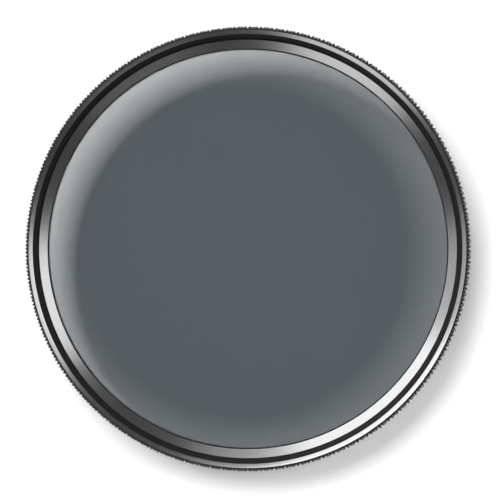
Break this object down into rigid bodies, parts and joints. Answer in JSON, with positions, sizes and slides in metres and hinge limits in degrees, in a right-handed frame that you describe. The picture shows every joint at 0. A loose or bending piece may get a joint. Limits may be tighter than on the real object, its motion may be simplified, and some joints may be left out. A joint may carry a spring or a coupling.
{
  "type": "screw-in circular polarising lens filter",
  "caption": "Round screw-in camera lens filter: grey glass in a knurled front ring that turns on a knurled threaded mount ring.",
  "frame": {"origin": "on the turning axis, in the plane of the rear end of the male thread, which the filter lies on", "axes": "+Z along the turning axis towards the front, where light comes in; +X to the right and +Y up in the picture"},
  "size_m": [0.0812, 0.0812, 0.0091],
  "materials": {
    "mount_ring_anodised": "satin black anodised",
    "front_ring_anodised": "satin black anodised, bevels turned bright",
    "retaining_ring_anodised": "matt black anodised",
    "spring_steel": "drawn",
    "filter_glass": "polished, neutral grey",
    "polarising_film": "clear film, neutral grey",
    "retarding_film": "clear film"
  },
  "bodies": {
    "mount": {"mount_ring": "mount_ring_anodised", "spring_wire": "spring_steel"},
    "rotor": {"front_ring": "front_ring_anodised", "front_glass": "filter_glass", "polariser_film": "polarising_film", "retarder_film": "retarding_film", "rear_glass": "filter_glass", "retaining_ring": "retaining_ring_anodised"}
  },
  "joints": [
    {"name": "ring_turn", "type": "hinge", "parent": "mount", "child": "rotor", "pos_m": [0, 0, 0.0038], "axis": [0, 0, 1], "continuous": true}
  ]
}
